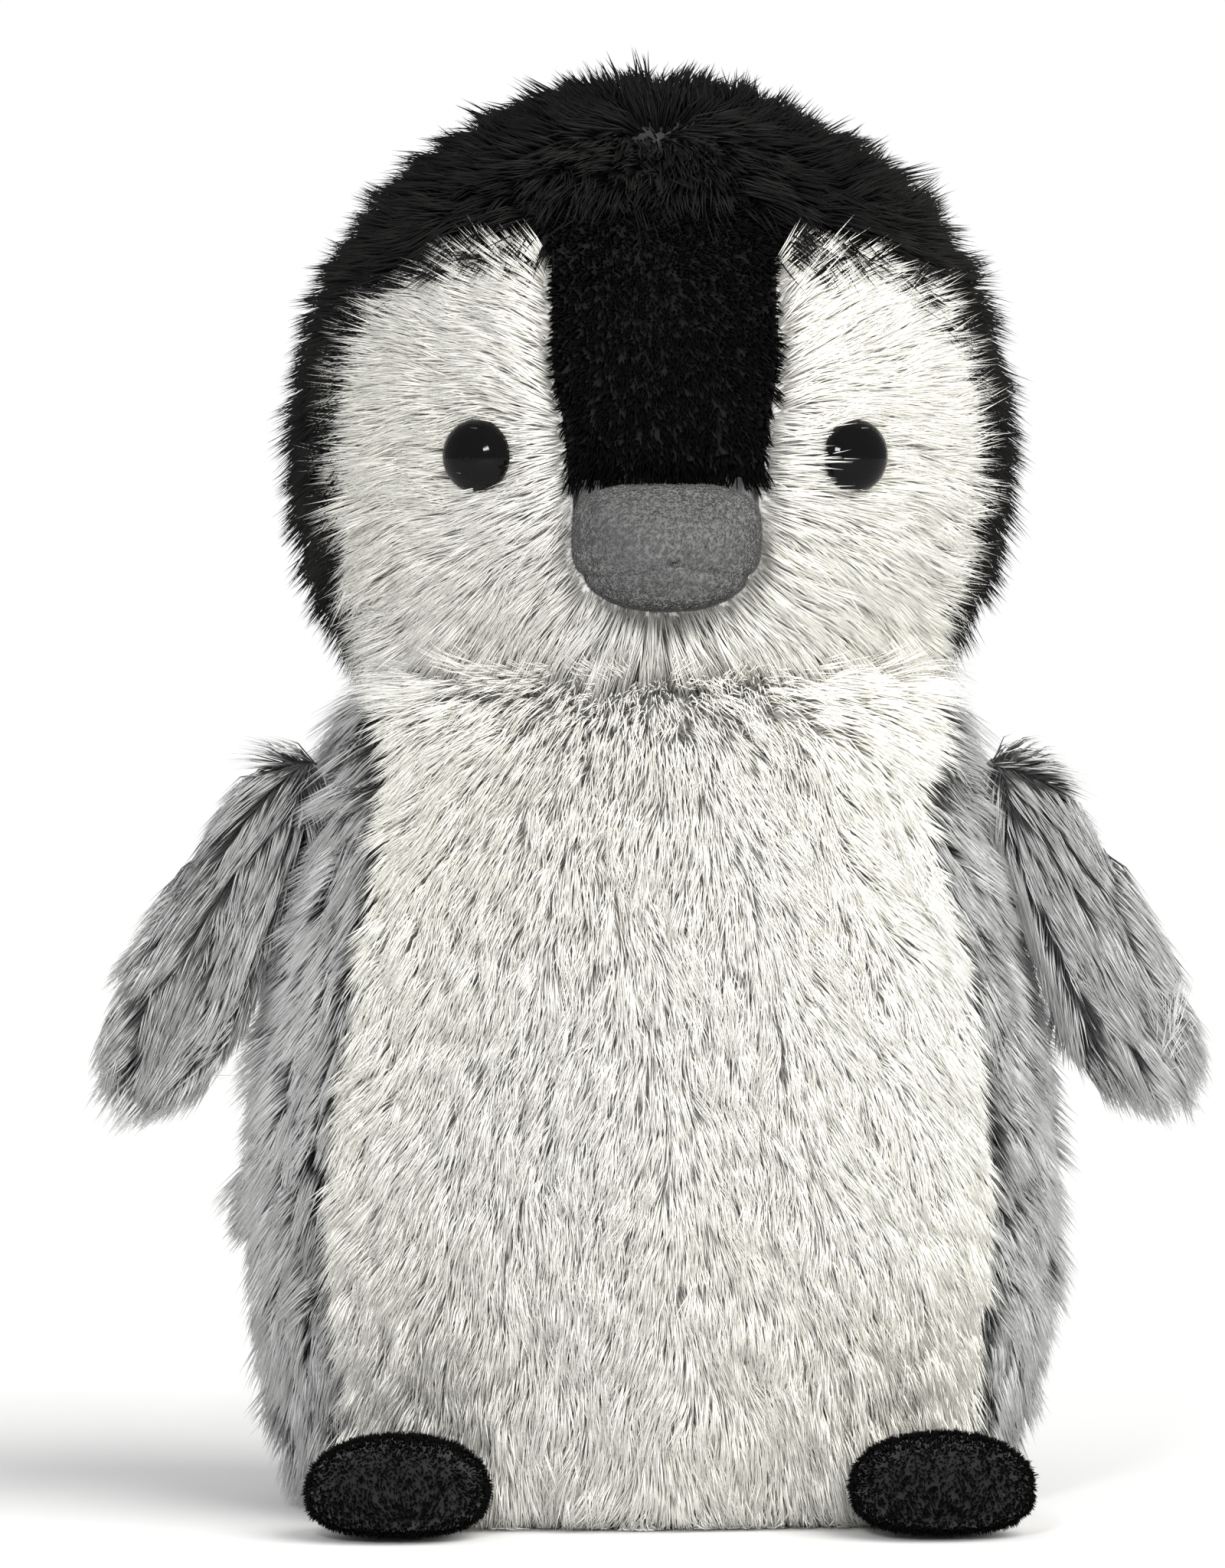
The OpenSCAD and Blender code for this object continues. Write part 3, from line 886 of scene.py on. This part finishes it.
def azimuth(p):
    """Degrees from straight ahead, to either side."""
    return np.degrees(np.arctan2(np.abs(p[:, 0]), MID_Y - p[:, 1]))


def add_fur(panel, node, body, slot, style, field, look=None, blend=None, keep=None, local=even):
    """The panel's pile: field gives the way it is combed and local how it varies."""
    area = panel.area()
    share = 1.0
    points, normals = panel.roots(int(area * style["density"] * share), keep)
    for obj in fur_objects(f"{node}_pile", points, normals, field, style, area, local):
        give(obj, LOOKS[look or slot])
        if blend:
            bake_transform(obj)
        else:
            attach(obj, body)


NECK = ("body", "head", (0, MID_Y * MM, 0.140), (0, MID_Y * MM, 0.188))

# ---------- body ----------


MM_PER_DEGREE = 1.3   # round the body's sides


def body_comb(p):
    """Down, and a little away from the middle line."""
    out = np.zeros_like(p)
    out[:, 0] = 0.12 * np.sign(p[:, 0]) * np.clip(np.abs(p[:, 0]) / 60, 0, 1)
    out[:, 2] = -1
    return out


def flank_comb(p):
    """Down, and out over the wings' roots; at the right shoulder, across towards the chest."""
    out = body_comb(p)
    shoulder = above(p, 142, 14) * below(p, SHOULDER_Z, 10)
    out[:, 0] += shoulder * np.sign(p[:, 0])
    collar = above(p, 158, 10) * (p[:, 0] < 0) * (p[:, 1] < MID_Y - 16)
    out[:, 0] += 1.7 * collar
    return out


def belly_local(p):
    """Stands up towards the neck, and hangs longer over the feet."""
    neck = above(p, 150, 22)
    foot = below(p, 34, 14) * ramp((np.abs(p[:, 0]) - 24) / 10)
    return Change(30 * neck + 6 * foot, 1 + 0.35 * neck + 0.45 * foot)


def flank_local(p):
    """Long over the wings' roots; short along the seams with the belly, where the dark roots show; the
    strands there are also darkened, as painted shade in the seam.
    """
    neck = above(p, 148, 22)
    from_wing = np.abs(p[:, 1] - MID_Y - WING_SEAM[1])
    shoulder = above(p, 145, 12) * ramp((46 - from_wing) / 20)
    beside = (azimuth(p) - belly_edge(p[:, 2])) * MM_PER_DEGREE
    seam = np.exp(-((beside - 3.5) / 4.5) ** 2)
    return Change(-8 * neck - 14 * seam, (1 + 0.4 * shoulder) * (1 - 0.25 * seam), 0.75 * seam)


def body_panel(name, from_az, to_az):
    top = SHOULDER_Z + 1
    low = 2.0

    def surface(u, v):
        z = low + (top - low) * u
        az = from_az(z) + (to_az(z) - from_az(z)) * v
        return body_point(az, z, PILE)

    return Panel(name, body_tree, patch(surface, 60, 50), (0, MID_Y, 80))


body_tree = puffed("body_form", body_rings(), 6, 4)
belly = body_panel("belly", lambda z: -belly_edge(z), belly_edge)
add_skin(belly, "belly_panel", "body", "white_fur", NECK)
add_fur(belly, "belly_panel", "body", "white_fur", WHITE, body_comb, blend=NECK, local=belly_local)
for side_name, side in SIDES.items():
    node = f"back_panel_{side_name}"
    back = body_panel("back", lambda z: side * belly_edge(z), lambda z: side * 180 + 0 * z)
    add_skin(back, node, "body", "frosted_fur", NECK)
    add_fur(back, node, "body", "frosted_fur", FROST, flank_comb, blend=NECK, local=flank_local)

# ---------- head ----------


COMB_FROM = np.array([0, MID_Y - 58, 212.0])  # in the beak's root


def mask_comb(p):
    """Away from the beak in all directions, and a little down."""
    out = p - COMB_FROM
    out[:, 0] += 8 * np.sign(p[:, 0]) * ramp(np.abs(p[:, 0]) / 14)
    out = unit(out)
    out[:, 2] -= 0.25
    return out


def cap_comb(p):
    """Back from the crown, and down the forehead, sides and back of the head."""
    front = ahead(p, 14, 24)
    out = np.zeros_like(p)
    out[:, 1] = 0.8 * (1 - front) * above(p, 230, 40) - 0.15 * front + 0.15
    out[:, 2] = -0.1 - 0.9 * np.maximum(front, below(p, 300, 60))
    out[:, 0] = 0.6 * p[:, 0] / HEAD_HALF_W
    return out


def blaze_comb(p):
    """Down towards the beak."""
    out = np.zeros_like(p)
    out[:, 0] = 0.3 * p[:, 0] / 24
    out[:, 2] = -1
    return out


def mask_local(p):
    """Stands out over the neck, is short at the top, and lies flat and long at the outer edge."""
    chin = below(p, 194, 20)
    top = above(p, 244, 14)
    rim = ramp((azimuth(p) - 54) / 10)
    return Change(26 * chin - 10 * top - 12 * rim, 1 + 0.2 * chin - 0.25 * top + 0.2 * rim)


def cap_local(p):
    """Lies flat on the crown and forehead."""
    crown = above(p, 262, 25)
    brow = ahead(p, 20, 20) * above(p, 240, 12)
    return Change(-26 * np.maximum(crown, brow), 1 - 0.1 * crown)


def blaze_local(p):
    """A fringe over the top of the beak."""
    fringe = below(p, 219, 5)
    return Change(-30 * fringe, 1 + 0.8 * fringe)


HEAD_LOW_Z = 173.0    # lower edge of the head's panels, in the neck
HEAD_CENTRE = (0, MID_Y, HEAD_MID_Z)
head_tree = puffed("head_form", head_rings(), 6, 4)


def mask_panel(side):
    def surface(u, v):
        z = HEAD_LOW_Z + (MASK_TOP_Z - 0.5 - HEAD_LOW_Z) * u
        az = mask_inner(z) + (mask_outer(z) - mask_inner(z)) * v
        return head_point(side * az, polar(z), PILE)

    return Panel("mask", head_tree, patch(surface, 70, 30), HEAD_CENTRE, 0.8)


def cap_panel(side):
    """From the mask's outer edge to the middle of the back, then over the crown."""
    def surface(u, v):
        low = 0.55  # the part of the panel below the mask's top
        z = HEAD_LOW_Z + (MASK_TOP_Z - HEAD_LOW_Z) * np.clip(u / low, 0, 1)
        psi_top = polar(np.array(MASK_TOP_Z))
        over = np.clip((u - low) / (1 - low), 0, 1)
        psi = np.where(u < low, polar(z), psi_top + (2 - psi_top) * over)
        height = HEAD_MID_Z + HEAD_UP * np.cos(np.radians(psi))
        blaze = az_at(blaze_half(height), psi)
        open_front = np.where(height > BLAZE_TOP_Z, 0, blaze)
        front = np.where(u < low, mask_outer(z), open_front)
        return head_point(side * (front + (180 - front) * v), psi, PILE)

    return Panel("cap", head_tree, patch(surface, 110, 60), HEAD_CENTRE, 0.8)


def blaze_panel():
    def surface(u, v):
        z = BLAZE_LOW_Z - 1 + (BLAZE_TOP_Z - BLAZE_LOW_Z + 1) * u
        edge = az_at(blaze_half(z), polar(z))
        return head_point(-edge + 2 * edge * v, polar(z), BLAZE_INSET)

    return Panel("blaze", head_tree, patch(surface, 40, 30), HEAD_CENTRE, 0.3)


EYE_CLEAR = 6.7
EYE_CLEAR_IN = 1.5    # the bare spot lies this far towards the beak, as the pile is combed outwards
EYE_CLEAR_SHAPE = np.array([1.25, 1, 0.9])  # taller than it is wide


def clear_of_eye(side):
    """Keeps the pile off the eye itself."""
    eye = head_point(np.array(side * EYE_AZ), polar(np.array(EYE_Z)), PILE)
    eye = eye - np.array([side * EYE_CLEAR_IN, 0, 0])

    def keep(p):
        return (np.linalg.norm((p - eye) * EYE_CLEAR_SHAPE, axis=1) > EYE_CLEAR).astype(float)

    return keep


for side_name, side in SIDES.items():
    node = f"face_patch_{side_name}"
    mask = mask_panel(side)
    add_skin(mask, node, "head", "white_fur")
    add_fur(
        mask, node, "head", "white_fur", WHITE, mask_comb, keep=clear_of_eye(side),
        local=mask_local)
    node = f"head_cap_{side_name}"
    cap = cap_panel(side)
    add_skin(cap, node, "head", "black_fur")
    add_fur(cap, node, "head", "black_fur", BLACK, cap_comb, local=cap_local)
blaze = blaze_panel()
add_skin(blaze, "forehead_blaze", "head", "black_fur")
add_fur(
    blaze, "forehead_blaze", "head", "black_fur", VELVET, blaze_comb, look="velvet",
    local=blaze_local)

# ---------- beak ----------

BEAK_CENTRE = (0, MID_Y - 60, BEAK_MID_Z - 1)
BEAK_SPLIT = 28.0     # degrees below level at which the two pieces meet
MOUTH_LINE = 0.9      # half width of the line of painted shade between them
beak_tree = puffed("beak_form", beak_rings(), 2.5, 1.5)


def beak_comb(p):
    """Towards the tip."""
    out = np.zeros_like(p)
    out[:, 1] = -1
    out[:, 2] = -0.3
    return out


def beak_panel(name, low, high, cols):
    def surface(u, v):
        return beak_point(low + (high - low) * v, 0.9995 * u ** 0.8, BEAK_INSET)

    return Panel(name, beak_tree, patch(surface, 48, cols), BEAK_CENTRE, 0.9, 1.4, (1,))


def beak_local(panel):
    """Shorter in the mouth line, and darker there: painted shade in the crease where the two pieces
    meet.
    """
    def local(p):
        line = np.exp(-(panel.from_sides(p) / MOUTH_LINE) ** 2)
        return Change(-10 * line, 1 - 0.5 * line, 0.9 * line)

    return local


for node, low, high, cols in (
    ("beak_upper", -BEAK_SPLIT, 180 + BEAK_SPLIT, 50),
    ("beak_lower", 180 + BEAK_SPLIT, 360 - BEAK_SPLIT, 30),
):
    panel = beak_panel(node, low, high, cols)
    add_skin(panel, node, "head", "grey_cloth")
    add_fur(panel, node, "head", "grey_cloth", BEAK_PILE, beak_comb, local=beak_local(panel))

# ---------- wings ----------


def wing_comb(side):
    """Down the wing's length."""
    lean = math.radians(WING_LEAN)
    way = np.array([side * math.sin(lean), 0, -math.cos(lean)])
    return lambda p: np.tile(way, (len(p), 1))


def wing_local(side):
    """Stands up round the root, where it meets the shoulder's pile."""
    root = wing_place(np.array([-(WING_LEN - WING_BACK) / 2, 0, 0]), side)

    def local(p):
        near = ramp((20 - np.linalg.norm(p - root, axis=1)) / 14)
        return Change(18 * near)

    return local


for side_name, side in SIDES.items():
    body = f"wing_{side_name}"
    tree = puffed("wing_form", wing_place(wing_rings(WING_HALF_T, WING_INSET), side), 3.5, 2)
    for face, half in (("front", 1), ("back", -1)):
        node = f"wing_{face}_{side_name}"
        panel = pillow_panel(
            face, tree, wing_outline, half * WING_HALF_T, WING_FLAT, WING_INSET,
            lambda points: wing_place(points, side), 72)
        add_skin(panel, node, body, "frosted_fur")
        add_fur(panel, node, body, "frosted_fur", WING_PILE, wing_comb(side), local=wing_local(side))

# ---------- feet ----------


def foot_comb(p):
    """Forwards and a little down."""
    out = np.zeros_like(p)
    out[:, 1] = -1
    out[:, 2] = -0.5
    return out


FOOT_TOP_H = FOOT_H - FOOT_SEAM_Z

for side_name, side in SIDES.items():
    body = f"foot_{side_name}"
    rings = pillow_rings(
        foot_outline, FOOT_SEAM_Z, FOOT_SOLE_FLAT, FOOT_TOP_H, FOOT_TOP_FLAT, SHORT_PILE)
    tree = puffed("foot_form", foot_place(rings, side), 3, 1.5)
    for face, height, flat in (
        ("top", FOOT_TOP_H, FOOT_TOP_FLAT), ("sole", -FOOT_SEAM_Z, FOOT_SOLE_FLAT),
    ):
        node = f"foot_{face}_{side_name}"
        panel = pillow_panel(
            face, tree, foot_outline, height, flat, SHORT_PILE,
            lambda points: foot_place(points, side), 60)
        add_skin(panel, node, body, "black_pile")
        add_fur(panel, node, body, "black_pile", FOOT_PILE, foot_comb, look="velvet")

# ---------- what is inside, and hard parts ----------


def node_shape(node):
    """A new object in the shape of the CAD node."""
    obj = bpy.data.objects.new(f"{node}_fill", frame["nodes"][node].data.copy())
    bpy.context.scene.collection.objects.link(obj)
    return obj


def wing_core(side):
    """What the drawn-in cloth of a wing leaves room for."""
    rings = wing_rings(WING_HALF_T - 3.5, WING_INSET + 2.5)
    return new_object("wing_core", *closed_form(wing_place(rings, side)))


LUMP_SIZE = 5.0       # the width of a lump over 2 pi


def loose_fill(node, obj, slot, voxel, lump):
    """The shape remeshed, with its surface drawn in unevenly by about lump, like loose fill."""
    voxel_remesh(obj, voxel)
    co, faces = evaluated(obj)
    bpy.data.objects.remove(obj)
    obj = new_object(f"{node}_fill", co, faces)
    normals = np.empty(len(co) * 3)
    obj.data.vertices.foreach_get("normal", normals)
    wobble = np.zeros(len(co))
    for wave in (1.0, 2.3, 5.1):
        phase = rng.uniform(0, 6.28, 3)
        wobble += np.prod(np.sin(co * wave / LUMP_SIZE + phase), axis=1) / wave
    co = co - normals.reshape(-1, 3) * (lump * (0.6 + 0.4 * wobble))[:, None]
    obj.data.vertices.foreach_set("co", (co * MM).ravel())
    obj.data.update()
    give(obj, SKINS[slot])
    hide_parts(node)
    return obj


for node, body, slot, voxel, lump in (
    ("head_stuffing", "head", "stuffing", 4, 5.0),
    ("body_stuffing", "body", "stuffing", 4, 5.0),
    ("beak_stuffing", "head", "stuffing", 2, 0.7),
    ("foot_stuffing_left", "foot_left", "stuffing", 2, 0.6),
    ("foot_stuffing_right", "foot_right", "stuffing", 2, 0.6),
    ("pellet_bag", "body", "pellets", 3, 0.6),
):
    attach(loose_fill(node, node_shape(node), slot, voxel, lump), body)

for side_name, side in SIDES.items():
    fill = loose_fill(f"wing_stuffing_{side_name}", wing_core(side), "stuffing", 2, 0.6)
    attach(fill, f"wing_{side_name}")


BASE_PROFILE = ((1, 1.2), (20, 1.0), (40, 0.7), (50, 0.45), (55, 0.3), (57.2, 0.9))
BASE_T = 1.2


def base_disc():
    """Flat seat panel of cloth, from the radius and height of each ring of its underside."""
    a = np.radians(np.arange(0, 360, 5.0))
    low = [np.stack([r * np.sin(a), MID_Y - r * np.cos(a), level(a, z)], -1) for r, z in BASE_PROFILE]
    high = [ring + np.array([0, 0, BASE_T]) for ring in low[::-1]]
    verts, faces = closed_form(np.array(low + high))
    return new_object("base_panel_cloth", verts, faces)


base = base_disc()
give(base, SKINS["frosted_fur"])
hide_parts("base_panel")
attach(base, "body")

HARD_PARTS = {"closing_stitches": "thread"}
for side_name in SIDES:
    HARD_PARTS[f"eye_{side_name}"] = "eye_plastic"
    HARD_PARTS[f"eye_washer_{side_name}"] = "washer_plastic"
for node, look in HARD_PARTS.items():
    part = frame["nodes"][node]
    part.data.materials.clear()
    part.data.materials.append(SKINS[look])

# ---------- stage ----------


FLOOR_HALF = 3000.0
GLOW = 0.5            # how strongly the world lights the toy
BACKDROP = 1.0        # and how bright it looks behind the toy


def sun_light(name, place, strength, softness, colour):
    """A broad soft light, softness in degrees, that doesn't show as a reflection."""
    light = bpy.data.lights.new(name, "SUN")
    light.energy = strength
    light.angle = math.radians(softness)
    light.color = colour
    obj = bpy.data.objects.new(name, light)
    obj.location = place
    obj.rotation_euler = (-Vector(place)).to_track_quat("-Z", "Y").to_euler()
    obj.visible_glossy = False
    bpy.context.scene.collection.objects.link(obj)


def eye_light(place, size, power):
    """The one small softbox that shines in the eyes."""
    light = bpy.data.lights.new("eye_light", "AREA")
    light.size = size
    light.energy = power
    obj = bpy.data.objects.new("eye_light", light)
    obj.location = place
    towards = Vector((0, 0, EYE_Z * MM)) - Vector(place)
    obj.rotation_euler = towards.to_track_quat("-Z", "Y").to_euler()
    bpy.context.scene.collection.objects.link(obj)


def floor():
    far = FLOOR_HALF
    corners = [(-far, -far, 0), (far, -far, 0), (far, far, 0), (-far, far, 0)]
    obj = new_object("floor", corners, [(0, 1, 2, 3)])
    m = Nodes("paper_floor")
    m.link(m.mix(m.noise(3), grey(0.86), grey(0.9)), "Base Color")
    m.plain(Roughness=0.9)
    obj.data.materials.append(m.material)


def world():
    """Even studio light; the backdrop itself is seen brighter than it shines."""
    w = bpy.data.worlds.new("studio")
    w.use_nodes = True
    nodes, links = w.node_tree.nodes, w.node_tree.links
    glow, seen = nodes["Background"], nodes.new("ShaderNodeBackground")
    for background, strength in ((glow, GLOW), (seen, BACKDROP)):
        background.inputs["Color"].default_value = (1, 1, 1, 1)
        background.inputs["Strength"].default_value = strength
    choose = nodes.new("ShaderNodeMixShader")
    links.new(nodes.new("ShaderNodeLightPath").outputs["Is Camera Ray"], choose.inputs["Fac"])
    links.new(glow.outputs[0], choose.inputs[1])
    links.new(seen.outputs[0], choose.inputs[2])
    links.new(choose.outputs[0], nodes["World Output"].inputs["Surface"])
    bpy.context.scene.world = w


floor()
world()
bpy.context.scene.view_settings.view_transform = "Standard"
sun_light("key", (1.5, -1.4, 1.5), 3.5, 60, (1.0, 0.99, 0.96))
sun_light("fill", (-1.2, -1.6, 1.0), 0.6, 80, (0.96, 0.98, 1.0))
eye_light((-0.35, -1.5, 0.65), 0.2, 10)

CAMERA_AZ = -3.0
CAMERA_ELEVATION = 2.0
CAMERA_DISTANCE = 2.5
FRAME_HEIGHT = 0.3235
SENSOR = 36.0
AIM = Vector((-0.0085, 0.0, 0.1500))


def camera():
    cam = bpy.data.cameras.new("camera")
    cam.sensor_width = SENSOR
    cam.lens = SENSOR * CAMERA_DISTANCE / FRAME_HEIGHT
    obj = bpy.data.objects.new("camera", cam)
    az, up = math.radians(CAMERA_AZ), math.radians(CAMERA_ELEVATION)
    back = Vector((math.sin(az) * math.cos(up), -math.cos(az) * math.cos(up), math.sin(up)))
    obj.location = AIM + back * CAMERA_DISTANCE
    obj.rotation_euler = (-back).to_track_quat("-Z", "Y").to_euler()
    bpy.context.scene.collection.objects.link(obj)
    bpy.context.scene.camera = obj


camera()
